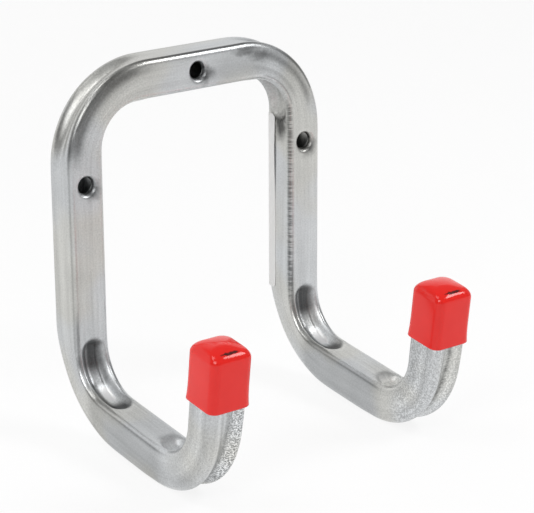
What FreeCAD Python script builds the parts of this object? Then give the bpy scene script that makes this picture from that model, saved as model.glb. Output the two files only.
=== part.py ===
import FreeCAD, Part
import math
import os

from FreeCAD import Placement, Rotation, Vector

# A double utility hook bent from one length of square steel tube.
# The tube makes an upside-down U flat against the wall, runs forward as two
# arms and turns up into two uprights. Each upright end wears a soft cap.
# Lengths are in millimetres and angles in degrees.
# The wall is the plane y = 0, the hook reaches towards -Y, and +Z is up.
# The origin is where the top screw hole's axis meets the wall.

# Section of the tube
TUBE_SIDE = 20.0
TUBE_WALL = 1.5
TUBE_CORNER_RADIUS = 3.0

# Route of the tube's centreline, measured to the sharp corners of the route
LEG_SPACING = 134.4
LEG_LENGTH = 161.0
ARM_LENGTH = 113.0
UPRIGHT_LENGTH = 75.8
ARM_SLOPE = 6.0
UPRIGHT_LEAN = 7.0

# Bends, each with the radius of its inner wall and that of its flattened outer wall
TOP_INNER_RADIUS = 22.0
TOP_OUTER_RADIUS = 49.0
LEG_INNER_RADIUS = 22.5
LEG_OUTER_RADIUS = 54.0
HOOK_INNER_RADIUS = 23.0
HOOK_OUTER_RADIUS = 44.5

# Scoop that the bending former's round rib leaves in the inner wall of each bend
SCOOP_DEPTH = 4.0
SCOOP_WIDTH = 13.0
SCOOP_FLOOR_WIDTH = 6.0
SCOOP_RADIUS = 22.5

# Valley where the stretched outer wall of each bend folds in between two round lobes
VALLEY_DEPTH = 3.0
VALLEY_WIDTH = 14.0
VALLEY_RADIUS_GAIN = 10.0

# Screw holes, punched from the front so that the front wall rolls in round each one
HOLE_DIAMETER = 8.5
HOLE_LIP_RADIUS = 2.4
HOLE_LIP_DEPTH = 3.0
SIDE_HOLE_DROP = 48.0

# Soft end caps
CAP_WALL = 1.4
CAP_TOP_THICKNESS = 2.5
CAP_GRIP_LENGTH = 28.0
CAP_CORNER_RADIUS = 4.2
CAP_FLARE = 0.4
CAP_TOP_ROUNDING = 2.8
CAP_CROWN_HEIGHT = 0.8
CAP_CROWN_SIDE = 9.0

# Length and angle by which a cutting shape runs past the faces that it cuts
OVERRUN = 4.0
OVERRUN_ANGLE = 15.0

HALF_SIDE = TUBE_SIDE / 2
LEG_X = LEG_SPACING / 2
ARM_DIRECTION = Vector(
    math.cos(math.radians(ARM_SLOPE)), -math.sin(math.radians(ARM_SLOPE)), 0
)
UPRIGHT_DIRECTION = Vector(
    math.sin(math.radians(UPRIGHT_LEAN)), math.cos(math.radians(UPRIGHT_LEAN)), 0
)


class Bend:
    """A corner of the flat route, with its wall radii. Every bend turns left."""

    def __init__(self, before, corner, after, inner_radius, outer_radius):
        arriving = (corner - before).normalize()
        leaving = (after - corner).normalize()
        self.half_turn = arriving.getAngle(leaving) / 2
        self.inward = (leaving - arriving).normalize()
        self.corner = corner
        self.inner_radius = inner_radius
        self.outer_radius = outer_radius

    def wall_corner(self, offset):
        """Sharp corner of a wall that lies offset to the left of the centreline."""
        return self.corner + self.inward * (offset / math.cos(self.half_turn))

    def wall_middle(self, offset, radius):
        """Point of a rounded wall that lies on the bend's bisector."""
        gap = radius / math.cos(self.half_turn) - radius
        return self.wall_corner(offset) + self.inward * gap

    def inner_middle(self):
        return self.wall_middle(HALF_SIDE, self.inner_radius)

    def outer_middle(self):
        return self.wall_middle(-HALF_SIDE, self.outer_radius)


def rounding(radius, flats=1):
    """Depth and inset of each edge of the flats that stand for a quarter rounding.

    Flats in place of a true rounding keep every face of the part a plane or a cone.
    """
    step = math.pi / 4 / (flats + 1)
    reach = radius / math.cos(step)
    angles = [step * (2 * count + 1) for count in range(flats, -1, -1)]
    return [
        (radius - reach * math.sin(angle), radius - reach * math.cos(angle))
        for angle in angles
    ]


def rounded_wall(start, bends, end, side, inset):
    """Edges of one long wall in the flat route: straights joined by tangent arcs.

    The side is 1 for the wall inside the bends and -1 for the one outside them.
    """
    edges = []
    here = start
    offset = side * (HALF_SIDE - inset)
    for bend in bends:
        radius = bend.inner_radius + inset if side > 0 else bend.outer_radius - inset
        corner = bend.wall_corner(offset)
        reach = radius * math.tan(bend.half_turn)
        tangent = Vector(bend.inward.y, -bend.inward.x, 0)
        arriving = tangent * math.cos(bend.half_turn) - bend.inward * math.sin(bend.half_turn)
        leaving = tangent * math.cos(bend.half_turn) + bend.inward * math.sin(bend.half_turn)
        arc_start = corner - arriving * reach
        arc_end = corner + leaving * reach
        middle = bend.wall_middle(offset, radius)
        edges.append(Part.LineSegment(here, arc_start).toShape())
        edges.append(Part.Arc(arc_start, middle, arc_end).toShape())
        here = arc_end
    edges.append(Part.LineSegment(here, end).toShape())
    return edges


def flat_outline(start, bends, end, inset, level):
    """Closed outline of the bar in its flat route, at one level across the tube."""
    first_way = (bends[0].corner - start).normalize()
    last_way = (end - bends[-1].corner).normalize()
    start_left = Vector(-first_way.y, first_way.x, 0) * (HALF_SIDE - inset)
    end_left = Vector(-last_way.y, last_way.x, 0) * (HALF_SIDE - inset)
    left = rounded_wall(start + start_left, bends, end + end_left, 1, inset)
    right = rounded_wall(start - start_left, bends, end - end_left, -1, inset)
    last_edge = Part.LineSegment(end + end_left, end - end_left).toShape()
    first_edge = Part.LineSegment(start - start_left, start + start_left).toShape()
    outline = Part.Wire(left + [last_edge] + right[::-1] + [first_edge])
    outline.translate(Vector(0, 0, level))
    return outline


def flat_bar(start, bends, end, wall=0.0, overrun=0.0):
    """Solid square bar along a flat route, with its four long edges rounded.

    With a wall it is the tube's cavity, and the overrun lengthens its far end.
    """
    end = end + (end - bends[-1].corner).normalize() * overrun
    steps = [
        (HALF_SIDE - wall - depth, wall + inset)
        for depth, inset in rounding(TUBE_CORNER_RADIUS - wall, flats=1 if wall > 0 else 2)
    ]
    levels = [(-height, inset) for height, inset in steps] + steps[::-1]
    sections = [
        flat_outline(start, bends, end, inset, level) for level, inset in levels
    ]
    return Part.makeLoft(sections, True, True)


def turned(edges, centre, angle=360.0):
    """Revolve a closed profile, drawn in the XZ plane, about the Z axis."""
    face = Part.Face(Part.Wire(edges))
    solid = face.revolve(Vector(0, 0, 0), Vector(0, 0, 1), angle)
    solid.translate(centre)
    return solid


def segments(points):
    return [
        Part.LineSegment(first, second).toShape()
        for first, second in zip(points, points[1:])
    ]


def scoop_former(bend, grow=0.0):
    """Wheel whose tapered rim presses the scoop into a bend's inner wall."""
    slope = math.atan2(SCOOP_DEPTH, (SCOOP_WIDTH - SCOOP_FLOOR_WIDTH) / 2)
    wheel_radius = SCOOP_RADIUS + grow
    half_floor = SCOOP_FLOOR_WIDTH / 2 + grow * math.tan(slope / 2)
    taper_depth = min(SCOOP_DEPTH + OVERRUN, wheel_radius / 2)
    half_width = half_floor + taper_depth / math.tan(slope)
    profile = [
        Vector(0, 0, half_width), Vector(wheel_radius - taper_depth, 0, half_width),
        Vector(wheel_radius, 0, half_floor), Vector(wheel_radius, 0, -half_floor),
        Vector(wheel_radius - taper_depth, 0, -half_width), Vector(0, 0, -half_width),
    ]
    centre = bend.inner_middle() + bend.inward * (SCOOP_RADIUS - SCOOP_DEPTH)
    return turned(segments(profile + profile[:1]), centre)


def valley_former(bend, grow=0.0):
    """Ring round the outside of a bend whose sharp inner rim folds the valley in."""
    slope = math.atan2(VALLEY_DEPTH, VALLEY_WIDTH / 2)
    ring_radius = bend.outer_radius + VALLEY_RADIUS_GAIN
    floor = ring_radius - grow / math.cos(slope)
    height = VALLEY_DEPTH + OVERRUN
    half_width = height / math.tan(slope)
    profile = [
        Vector(floor, 0, 0), Vector(floor + height, 0, half_width),
        Vector(floor + height, 0, -half_width),
    ]
    half_sweep = math.degrees(bend.half_turn) + OVERRUN_ANGLE
    ring = turned(segments(profile + profile[:1]), Vector(0, 0, 0), 2 * half_sweep)
    outward_angle = math.degrees(math.atan2(-bend.inward.y, -bend.inward.x))
    ring.rotate(Vector(0, 0, 0), Vector(0, 0, 1), outward_angle - half_sweep)
    ring.translate(bend.outer_middle() + bend.inward * (VALLEY_DEPTH + ring_radius))
    return ring


def bent_bar(start, bends, end, wall=0.0, overrun=0.0):
    """Bar along a flat route with the scoop and the valley of every bend cut in."""
    bar = flat_bar(start, bends, end, wall, overrun)
    for bend in bends:
        bar = bar.cut(scoop_former(bend, wall))
        bar = bar.cut(valley_former(bend, wall))
    return bar


# Flat route of one side: down the leg, forward along the arm, up the upright.
# Its first axis is forward, its second is up and its third is across the tube.
LEG_JOIN = Vector(0, -LEG_LENGTH / 2, 0)
LEG_FOOT = Vector(0, -LEG_LENGTH, 0)
HOOK_CORNER = LEG_FOOT + ARM_DIRECTION * ARM_LENGTH
UPRIGHT_END = HOOK_CORNER + UPRIGHT_DIRECTION * UPRIGHT_LENGTH
SIDE_BENDS = [
    Bend(LEG_JOIN, LEG_FOOT, HOOK_CORNER, LEG_INNER_RADIUS, LEG_OUTER_RADIUS),
    Bend(LEG_FOOT, HOOK_CORNER, UPRIGHT_END, HOOK_INNER_RADIUS, HOOK_OUTER_RADIUS),
]

# Flat route of the U: up the right half, across the top, down the left half.
TOP_RIGHT = Vector(LEG_X, 0, 0)
TOP_LEFT = Vector(-LEG_X, 0, 0)
RIGHT_JOIN = TOP_RIGHT + LEG_JOIN
LEFT_JOIN = TOP_LEFT + LEG_JOIN
TOP_BENDS = [
    Bend(RIGHT_JOIN, TOP_RIGHT, TOP_LEFT, TOP_INNER_RADIUS, TOP_OUTER_RADIUS),
    Bend(TOP_RIGHT, TOP_LEFT, LEFT_JOIN, TOP_INNER_RADIUS, TOP_OUTER_RADIUS),
]

SIDE_ROTATION = Rotation(Vector(0, -1, 0), Vector(0, 0, 1), Vector(-1, 0, 0), "ZXY")
FRONT_ROTATION = Rotation(Vector(1, 0, 0), Vector(0, 0, 1), Vector(0, -1, 0), "ZXY")


def placed(shape, rotation, x):
    """Stand a flat piece up in the hook's frame, half a tube in front of the wall."""
    result = shape.copy()
    result.Placement = Placement(Vector(x, -HALF_SIDE, 0), rotation)
    return result


def tube_body(wall=0.0, overrun=0.0):
    """The whole bent bar, or its cavity, in the hook's frame."""
    side = bent_bar(LEG_JOIN, SIDE_BENDS, UPRIGHT_END, wall, overrun)
    front = bent_bar(RIGHT_JOIN, TOP_BENDS, LEFT_JOIN, wall)
    return placed(front, FRONT_ROTATION, 0).fuse([
        placed(side, SIDE_ROTATION, -LEG_X), placed(side, SIDE_ROTATION, LEG_X)
    ])


HOLE_CENTRES = [
    Vector(0, 0, 0),
    Vector(-LEG_X, 0, -SIDE_HOLE_DROP),
    Vector(LEG_X, 0, -SIDE_HOLE_DROP),
]


def punched_mouth(wall=0.0):
    """Space inside the rolled lip of a screw hole, or with a wall the lip too.

    The profile's first axis is the radius and its third is the depth below the
    tube's front face.
    """
    waist = HOLE_DIAMETER / 2 + wall
    lip = [
        Vector(waist + inset, 0, wall + depth)
        for depth, inset in rounding(HOLE_LIP_RADIUS - wall)
    ]
    top = -OVERRUN
    profile = [Vector(0, 0, HOLE_LIP_DEPTH), Vector(0, 0, top), Vector(lip[0].x, 0, top)]
    profile += lip + [Vector(waist, 0, HOLE_LIP_DEPTH)]
    mouth = turned(segments(profile + profile[:1]), Vector(0, 0, 0))
    mouth.Placement = Placement(Vector(0, -TUBE_SIDE, 0), Rotation(Vector(1, 0, 0), -90))
    return mouth


def at_holes(shape):
    """Copies of a shape at the three screw holes."""
    copies = []
    for centre in HOLE_CENTRES:
        copy = shape.copy()
        copy.Placement = Placement(centre, Rotation()).multiply(shape.Placement)
        copies.append(copy)
    return copies


def hook_tube():
    cavity = tube_body(TUBE_WALL, OVERRUN).cut(at_holes(punched_mouth(TUBE_WALL)))
    bore = Part.makeCylinder(
        HOLE_DIAMETER / 2, TUBE_SIDE + 2 * OVERRUN, Vector(0, OVERRUN, 0), Vector(0, -1, 0)
    )
    tube = tube_body().cut(cavity)
    tube = tube.cut(at_holes(punched_mouth()) + at_holes(bore))
    return tube.removeSplitter()


def soft_square(side, corner_radius, height):
    """Corners of a level square whose own corners are rounded by flats."""
    half = side / 2
    corner = [
        (half - depth, half - inset)
        for depth, inset in rounding(corner_radius, flats=2)
    ]
    points = []
    for turn in range(4):
        rotation = Rotation(Vector(0, 0, 1), 90 * turn)
        points += [rotation.multVec(Vector(x, y, height)) for x, y in corner]
    return points


def stacked(outlines):
    """Solid with flat faces between each outline and the next one up."""
    faces = []
    for lower, upper in zip(outlines, outlines[1:]):
        for side in range(len(lower)):
            corners = [lower[side - 1], lower[side], upper[side], upper[side - 1]]
            faces.append(Part.Face(Part.makePolygon(corners + corners[:1])))
    for outline in (outlines[0], outlines[-1]):
        faces.append(Part.Face(Part.makePolygon(outline + outline[:1])))
    return Part.Solid(Part.makeShell(faces))


def end_cap():
    """Soft cap, with its open rim at z = 0 and the tube's end on its inside top."""
    outside = TUBE_SIDE + 2 * CAP_WALL
    height = CAP_GRIP_LENGTH + CAP_TOP_THICKNESS
    shoulder = height - CAP_CROWN_HEIGHT
    levels = [(0, -CAP_FLARE)]
    levels += [
        (shoulder - depth, inset)
        for depth, inset in rounding(CAP_TOP_ROUNDING, flats=2)[::-1]
    ]
    levels.append((height, (outside - CAP_CROWN_SIDE) / 2))
    cap = stacked([
        soft_square(outside - 2 * inset, CAP_CORNER_RADIUS - inset / 2, level)
        for level, inset in levels
    ])
    socket = stacked([
        soft_square(TUBE_SIDE, TUBE_CORNER_RADIUS, level)
        for level in (-OVERRUN, CAP_GRIP_LENGTH)
    ])
    return cap.cut(socket)


def caps():
    """The two caps, pushed down over the ends of the uprights."""
    rim_centre = UPRIGHT_END - UPRIGHT_DIRECTION * CAP_GRIP_LENGTH
    tilt = Rotation(Vector(1, 0, 0), UPRIGHT_LEAN)
    cap = end_cap()
    result = {}
    for name, x in (("left_cap", -LEG_X), ("right_cap", LEG_X)):
        copy = cap.copy()
        copy.Placement = Placement(
            Vector(x, -HALF_SIDE - rim_centre.x, rim_centre.y), tilt
        )
        result[name] = copy
    return result


def main():
    nodes = {"hook_tube": hook_tube()}
    nodes.update(caps())
    os.makedirs("parts", exist_ok=True)
    for name, shape in nodes.items():
        shape.exportStep("parts/" + name + ".step")
        box = shape.BoundBox
        print(name, shape.isValid(), len(shape.Solids), round(shape.Volume, 1),
              [round(v, 2) for v in (box.XMin, box.YMin, box.ZMin, box.XMax, box.YMax, box.ZMax)])


main()
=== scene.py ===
import math

import bmesh
import bpy
from mathutils import Matrix, Vector


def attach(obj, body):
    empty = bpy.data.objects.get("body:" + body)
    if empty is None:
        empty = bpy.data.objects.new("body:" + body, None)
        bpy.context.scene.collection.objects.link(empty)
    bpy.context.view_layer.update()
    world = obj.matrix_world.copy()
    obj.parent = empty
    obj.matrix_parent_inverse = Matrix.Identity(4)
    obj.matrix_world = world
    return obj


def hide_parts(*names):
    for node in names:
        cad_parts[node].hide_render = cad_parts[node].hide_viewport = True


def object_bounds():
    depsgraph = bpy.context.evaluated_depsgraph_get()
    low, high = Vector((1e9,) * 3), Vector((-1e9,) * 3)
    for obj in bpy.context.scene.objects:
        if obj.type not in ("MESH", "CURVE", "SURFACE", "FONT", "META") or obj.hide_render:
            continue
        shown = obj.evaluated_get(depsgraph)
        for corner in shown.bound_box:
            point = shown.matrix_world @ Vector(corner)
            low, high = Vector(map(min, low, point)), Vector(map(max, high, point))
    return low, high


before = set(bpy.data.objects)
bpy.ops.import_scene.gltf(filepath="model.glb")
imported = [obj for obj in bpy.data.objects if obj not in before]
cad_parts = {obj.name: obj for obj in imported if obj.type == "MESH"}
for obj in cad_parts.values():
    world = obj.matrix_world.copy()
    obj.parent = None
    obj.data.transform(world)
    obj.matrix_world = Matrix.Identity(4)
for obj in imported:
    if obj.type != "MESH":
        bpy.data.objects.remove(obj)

# A double wall hook of galvanised square tube with two glossy red end caps.
# The frame is the part's own: the wall is y = 0, the hook reaches towards -Y,
# and the origin is where the top screw hole's axis meets the wall.

MM = 0.001
CAD_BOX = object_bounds()

# Tube section and route, as in the part's source
TUBE_SIDE = 20 * MM
TUBE_WALL = 1.5 * MM
TUBE_CORNER = 3 * MM
LEG_SPACING = 134.4 * MM
LEG_LENGTH = 161 * MM
ARM_LENGTH = 113 * MM
UPRIGHT_LENGTH = 75.8 * MM
ARM_SLOPE = math.radians(6)
UPRIGHT_LEAN = math.radians(7)
HALF_SIDE = TUBE_SIDE / 2
HALF_FLAT = HALF_SIDE - TUBE_CORNER
LEG_X = LEG_SPACING / 2

# Inner and outer wall radius of the three kinds of bend, and how much wider the route turns
TOP_RADII = (22 * MM, 49 * MM)
LEG_RADII = (22.5 * MM, 54 * MM)
HOOK_RADII = (23 * MM, 44.5 * MM)
ROUTE_MARGIN = 0.5 * MM

# Named inputs of the tube's node tree: the inset, which is 0 for the skin, and the marks
# that pressing and bending leave at every bend. The inner wall has a scoop with a ridge
# beside it, the outer wall has a valley with two lobes, and the sides draw in like cheeks.
TREE_SIZES = {
    "Inset": 0.0,
    "Scoop Depth": 4 * MM,
    "Scoop Half Width": 7.1 * MM,
    "Scoop Floor": 2.6 * MM,
    "Scoop Half Length": 24.5 * MM,
    "Ridge Height": 0.35 * MM,
    "Valley Depth": 3 * MM,
    "Valley Half Length": 42 * MM,
    "Cheek Depth": 1.2 * MM,
}

# How these marks lie and run out
SCOOP_RISE = 0.55
SCOOP_SHIFT = 3 * MM
RIDGE_PLACE = 7.4 * MM
RIDGE_WIDTH = 0.7 * MM
RIDGE_FULL = 18 * MM
VALLEY_HALF_WIDTH = 7 * MM
VALLEY_FULL = 10 * MM
VALLEY_END = 0.72
CHEEK_START = 2 * MM

# Share of half a side beyond which a point counts as part of a wall
WALL_SHARE = 0.93

# Spacing of the mesh across the tube, along its bends and along its straights
SKIN_STEP = 0.5 * MM
LINING_STEP = 1 * MM
BEND_STEP = math.radians(2.25)
STRAIGHT_STEP = 4 * MM
HOLE_STEP = 1 * MM

# Distance along the tube, in metres, that no mark of a bend reaches
FAR_AWAY = 1

# Screw holes, with a front lip that is rolled in
SIDE_HOLE_DROP = 48 * MM
HOLE_RADIUS = 4.25 * MM
LIP_RADIUS = 2.4 * MM
LIP_DEPTH = 2.8 * MM
LIP_STRAIGHT = 0.6 * MM
LIP_ROUND = 0.3 * MM
LIP_SPREAD = 0.2 * MM
LIP_STEPS = 10
BACK_CHAMFER = 0.15 * MM
SAME_PLANE = 0.2 * MM
HOLE_CENTRES = [
    Vector((0, 0, 0)),
    Vector((-LEG_X, 0, -SIDE_HOLE_DROP)),
    Vector((LEG_X, 0, -SIDE_HOLE_DROP)),
]

# Caps
CAP_WALL = 1.4 * MM
CAP_TOP = 2.5 * MM
CAP_GRIP = 28 * MM
CAP_CORNER = 4.4 * MM
CAP_CORNER_GROWTH = 0.25
CAP_RIM = 0.35 * MM
CAP_FLARE = 0.4 * MM
CAP_FLARE_SHARE = 0.4
CAP_SHOULDER = 5 * MM
CAP_SHOULDER_TURN = math.radians(73)
CAP_SHOULDER_STEPS = 10
CAP_SKIRT_LEVELS = (0.01, 0.04, 0.1, 0.2, 0.4, 0.7, 1)
CAP_CROWN_REACHES = (0.85, 0.7, 0.5, 0.3, 0.1)
CAP_CORNER_STEPS = 8
CAP_SOCKET = CAP_GRIP - 1.2 * MM

# Paper label inside the right leg, and the part of its front edge that lifts
LABEL_BACK = -1.6 * MM
LABEL_FRONT = -7.2 * MM
LABEL_LOW = -131 * MM
LABEL_HIGH = -34.5 * MM
LABEL_THICKNESS = 0.12 * MM
LABEL_CORNER = 1.8 * MM
LABEL_CLEARANCE = 0.02 * MM
LABEL_ROWS = 70
LABEL_COLUMNS = 6
LIFT_HEIGHT = 0.55 * MM
LIFT_MIDDLE = -55 * MM
LIFT_SPAN = 16 * MM

# Colours, and the depth of the fine relief of two materials
ZINC_WARM = (0.605, 0.605, 0.58, 1)
ZINC_COOL = (0.59, 0.605, 0.615, 1)
VINYL_DEEP = (0.78, 0.014, 0.010, 1)
VINYL_BRIGHT = (0.84, 0.020, 0.014, 1)
CROWN_DARK = (0.03, 0.012, 0.01, 1)
LABEL_GREY = (0.74, 0.74, 0.73, 1)
LABEL_WHITE = (0.82, 0.82, 0.81, 1)
FLOOR_WHITE = (0.96, 0.96, 0.96, 1)
WALL_WHITE = (0.9, 0.9, 0.9, 1)
LIGHT_WHITE = (1, 1, 1, 1)
ZINC_RELIEF = 0.12 * MM
VINYL_RELIEF = 0.2 * MM

# The places, reaches and widths of the marks below are in millimetres.
# A pair that a mark fades between is the place where it is full and the one where it is gone.
# A strength is the share of the tone that a mark takes away. Below 0, the mark brightens.

# Dark spots on the zinc: centre, reach and strength. The third to the fifth are painted shade
# in the dished mouths of the screw holes, right of and below each hole, and the seventh is a
# painted shadow on the right leg's inner face by the top of the label. The others are darker
# patches.
DARK_SPOTS = [
    ((29, -20, 6.2), (11, 4, 3.6), 0.60),
    ((38, -20, 2), (9, 4, 4), 0.35),
    ((3.4, -20, -2.2), (8.6, 4, 7.2), 0.72),
    ((-64, -20, -50.5), (7.4, 4, 7.6), 0.60),
    ((69, -20, -50.5), (7.6, 4, 8), 0.68),
    ((-77.2, -9, -25), (4, 8, 7), 0.35),
    ((57.2, -12, -38), (4, 8, 14), 0.86),
    ((53, -10, -20), (14, 15, 25), 0.38),
    ((22, -20, -1), (28, 4, 11), 0.20),
    ((-67, -116, -170), (17, 22, 14), 0.24),
]

# Painted dark reflections in bands along the front of the top bends, where their bent faces
# mirror darker surroundings: place across the tube and half width, centre and reach, and strength
BANDS = [
    (6.3, 3, (-57, -20, -10), (38, 9, 34), 0.66),
    (4.6, 2.2, (54, -20, -8), (30, 9, 30), 0.5),
    (-2.9, 1.6, (50, -20, -8), (22, 9, 22), 0.2),
    (-7.3, 0.6, (53, -20, -14), (15, 9, 17), 0.4),
]

# Painted shade in the mouths of the screw holes: its place out from the wall, reach and strength
MOUTH_Y = -16.4
MOUTH_REACH = (5.2, 3, 5.2)
MOUTH_STRENGTH = 0.75

# Shades in the leg bends' scoops: the pairs that they fade between leftward, if they do,
# and towards the leg, then their strength, and whether they are patchy
SCOOP_SHADES = [
    (None, (11.5, 7), 0.54, True),
    (None, (-17, -11), 0.80, False),
    ((2.2, 0.6), (0.5, 3), 0.68, False),
    ((1.4, 3), (2, -1.5), 0.66, True),
]

# Painted shade on the lower rim of these scoops, and their painted highlight patch, which has a
# middle and a width each way
LOWER_RIM = ((4, 1.5), (0, 6), 0.55)
PAINTED_HIGHLIGHT = ((-1.6, 3.2), (-5.5, 6), -1.5)

# Lines along the tube: the stretch that they run on, place in the section, width and strength.
# On the bends, legs and arms they are mostly painted shade beside and over the rolled edges,
# which narrows the edges' highlights, and on the arms partly a thin dark seam. On the hooks
# they are lighter and darker stripes.
SIDE_LINES = [
    ("leg bends", (8.3, 9.8), 0.8, 0.5),
    ("legs", (9.65, 8.6), 0.7, 0.3),
    ("arms", (9.65, 8.6), 0.7, 0.38),
    ("right arm", (9.3, 9), 0.9, 0.3),
    ("hooks", (10, 5.5), 2.4, 0.16),
    ("hooks", (10, -1), 1.3, -0.1),
    ("hooks", (10, -5), 0.8, 0.1),
    ("hooks", (5.6, -10), 0.9, -0.1),
    ("hooks", (3.6, -10), 0.7, 0.2),
    ("hooks", (-4, -10), 1.2, -0.1),
]
# On the top, the lines are painted shade beside and over the rolled edges, narrowing their
# highlights
TOP_LINES = [
    ("top left bend", (9.4, 8.9), 0.9, 0.5),
    ("top run", (9.75, 8.3), 0.7, 0.7),
    ("whole top", (8.5, 9.65), 0.65, 0.5),
]

# Middle of the rolled edge between two faces of the section, and its width
EDGE_LINE = ((9.1, 9.1), 1.4)

# Pairs that whole faces of the section fade between, two of them with their strength on the arms:
# the arms' left faces get painted shade and the right arm's upper face painted light
FRONT_FACE = (9.6, 8.6)
LEFT_FACE = ((9.7, 9.2), 0.25)
UPPER_FACE = ((8.5, 7.5), -0.14)

# Painted dark reflection in a band round the outside of the top left bend, between its highlights:
# middle and width, pair and strength
OUTER_BAND = ((-5, 1.3), (7, 6), 0.45)

# Groove under the hooks: middle and width, and strength on both and again on the right
GROOVE = ((0, 1.5), 0.35, 0.4)

# Dark streak on the crown of a cap: centre and reach about the cap's rim, and strength
CROWN_STREAK = ((-1.2, -8.3, 29.2), (6.2, 0.9, 2), 0.93)

# Camera, fitted to the outline of the tube in the photograph
IMAGE_WIDTH = 534
CAMERA_TARGET = Vector((22.1, -45, -93.4)) * MM
CAMERA_DISTANCE = 1084.4 * MM
CAMERA_AZIMUTH = 0.6374
CAMERA_ELEVATION = 0.3281
CAMERA_ROLL = -0.0042
FOCAL_PIXELS = 2120.9
IMAGE_CENTRE = (264.75, 251.95)
FRAME_CENTRE = (267, 256.5)

# Studio in metres, and softboxes: name, direction, distance, size and power
FLOOR_GAP = 0.5 * MM
FLOOR_SIDE = 8
WALL_SIDE = 6
WALL_DISTANCE = 1.6
WALL_TOP = 2
LIT_POINT = Vector((0, -60, -90)) * MM
SOFTBOXES = [
    ("front softbox", (0.56, -0.48, 0.68), 1.2, (0.5, 0.42), 6),
    ("top softbox", (-0.40, 0.10, 0.91), 1.2, (0.42, 0.42), 2),
    ("left softbox", (-0.8, -0.5, 0.7), 1.4, (0.6, 0.6), 6),
]


def feed(tree, node, inputs):
    """Gives a node's inputs their Numbers, other nodes' outputs or fixed values."""
    for name, value in inputs.items():
        if isinstance(value, Number):
            value = value.socket
        if isinstance(value, bpy.types.NodeSocket):
            tree.links.new(value, node.inputs[name])
        else:
            node.inputs[name].default_value = value


def add_node(tree, kind, inputs, **settings):
    """A new node with its settings made and its inputs fed."""
    node = tree.nodes.new(kind)
    for name, value in settings.items():
        setattr(node, name, value)
    feed(tree, node, inputs)
    return node


class Number:
    """A number inside a node tree that can be written into a formula."""

    def __init__(self, tree, socket):
        self.tree = tree
        self.socket = socket

    def joined(self, operation, *others):
        """What a maths node makes of this number and others."""
        inputs = dict(enumerate((self, *others)))
        node = add_node(self.tree, "ShaderNodeMath", inputs, operation=operation)
        return Number(self.tree, node.outputs[0])

    def __add__(self, other):
        return self.joined("ADD", other)

    def __sub__(self, other):
        return self.joined("SUBTRACT", other)

    def __mul__(self, other):
        return self.joined("MULTIPLY", other)

    def __truediv__(self, other):
        return self.joined("DIVIDE", other)

    def absolute(self):
        return self.joined("ABSOLUTE")

    def at_least(self, other):
        return self.joined("MAXIMUM", other)

    def at_most(self, other):
        return self.joined("MINIMUM", other)

    def above(self, other):
        return self.joined("GREATER_THAN", other)

    def reverse(self):
        """1 where the number is 0, and 0 where it is 1."""
        return self * -1.0 + 1.0

    def mixed(self, low, high):
        """From low where the number is 0 to high where it is 1."""
        return self * (high - low) + low

    def fading(self, full, gone):
        """1 at full and beyond it, 0 at gone and beyond it, and a smooth step between them."""
        inputs = {"Value": self, "From Min": full, "From Max": gone, "To Min": 1, "To Max": 0}
        node = add_node(self.tree, "ShaderNodeMapRange", inputs, interpolation_type="SMOOTHSTEP")
        return Number(self.tree, node.outputs[0])

    def bell(self, centre, width):
        """A smooth bump of height 1 about a centre."""
        offset = (self - centre) / width
        return (offset * offset * -1.0).joined("EXPONENT")


def length_of(*numbers):
    """Root of the sum of the squares of some numbers."""
    total = numbers[0] * numbers[0]
    for number in numbers[1:]:
        total = total + number * number
    return total.joined("SQRT")


def vector_parts(tree, vector):
    """The three numbers of a vector."""
    node = add_node(tree, "ShaderNodeSeparateXYZ", {0: vector})
    return [Number(tree, output) for output in node.outputs]


def vector_of(tree, *numbers):
    """A vector made of numbers."""
    return add_node(tree, "ShaderNodeCombineXYZ", dict(enumerate(numbers))).outputs[0]


def vector_maths(tree, operation, first, second):
    """What a vector maths node makes of two vectors."""
    inputs = {0: first, 1: second}
    return add_node(tree, "ShaderNodeVectorMath", inputs, operation=operation).outputs[0]


def scaled(tree, vector, number):
    """A vector times a number."""
    inputs = {0: vector, "Scale": number}
    return add_node(tree, "ShaderNodeVectorMath", inputs, operation="SCALE").outputs[0]


class Bend:
    """A bend of the route, with the reach of its inner and outer walls."""

    def __init__(self, before, corner, after, radii):
        arriving = (corner - before).normalized()
        leaving = (after - corner).normalized()
        self.half_turn = arriving.angle(leaving) / 2
        self.inward = (leaving - arriving).normalized()
        self.forward = (leaving + arriving).normalized()
        self.radii = radii
        self.side = math.copysign(1, corner.x)
        self.route_radius = max(radii[0] + HALF_SIDE, radii[1] - HALF_SIDE) + ROUTE_MARGIN
        self.centre = corner + self.inward * (self.route_radius / math.cos(self.half_turn))

    def outward(self, angle):
        return self.forward * math.sin(angle) - self.inward * math.cos(angle)

    def reach(self, angle, radius, offset):
        """Distance from the bend's centre to a wall, which is straight and then an arc."""
        near = self.route_radius + offset
        slack = self.half_turn - abs(angle)
        if math.tan(slack) < (near - radius) * math.tan(self.half_turn) / near:
            return near / math.cos(slack)
        shift = (near - radius) / math.cos(self.half_turn)
        return shift * math.cos(angle) + math.sqrt(radius ** 2 - (shift * math.sin(angle)) ** 2)

    def angles(self):
        count = round(2 * self.half_turn / BEND_STEP / 2) * 2
        return [self.half_turn * (2 * step / count - 1) for step in range(count + 1)]


def side_corners(x):
    """Leg foot, hook corner and upright end of one side."""
    foot = Vector((x, -HALF_SIDE, -LEG_LENGTH))
    arm = Vector((0, -math.cos(ARM_SLOPE), -math.sin(ARM_SLOPE)))
    upright = Vector((0, -math.sin(UPRIGHT_LEAN), math.cos(UPRIGHT_LEAN)))
    hook = foot + arm * ARM_LENGTH
    return foot, hook, hook + upright * UPRIGHT_LENGTH


class Station:
    """One place along the tube, with the axes and stretch of its section."""

    def __init__(self, place, side_axis, front_axis, inner_way, stretch, along):
        self.place = place
        self.side_axis = side_axis
        self.front_axis = front_axis
        self.inner_way = inner_way
        self.stretch_in, self.stretch_out = stretch
        self.along = along
        self.travelled = 0


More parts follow.
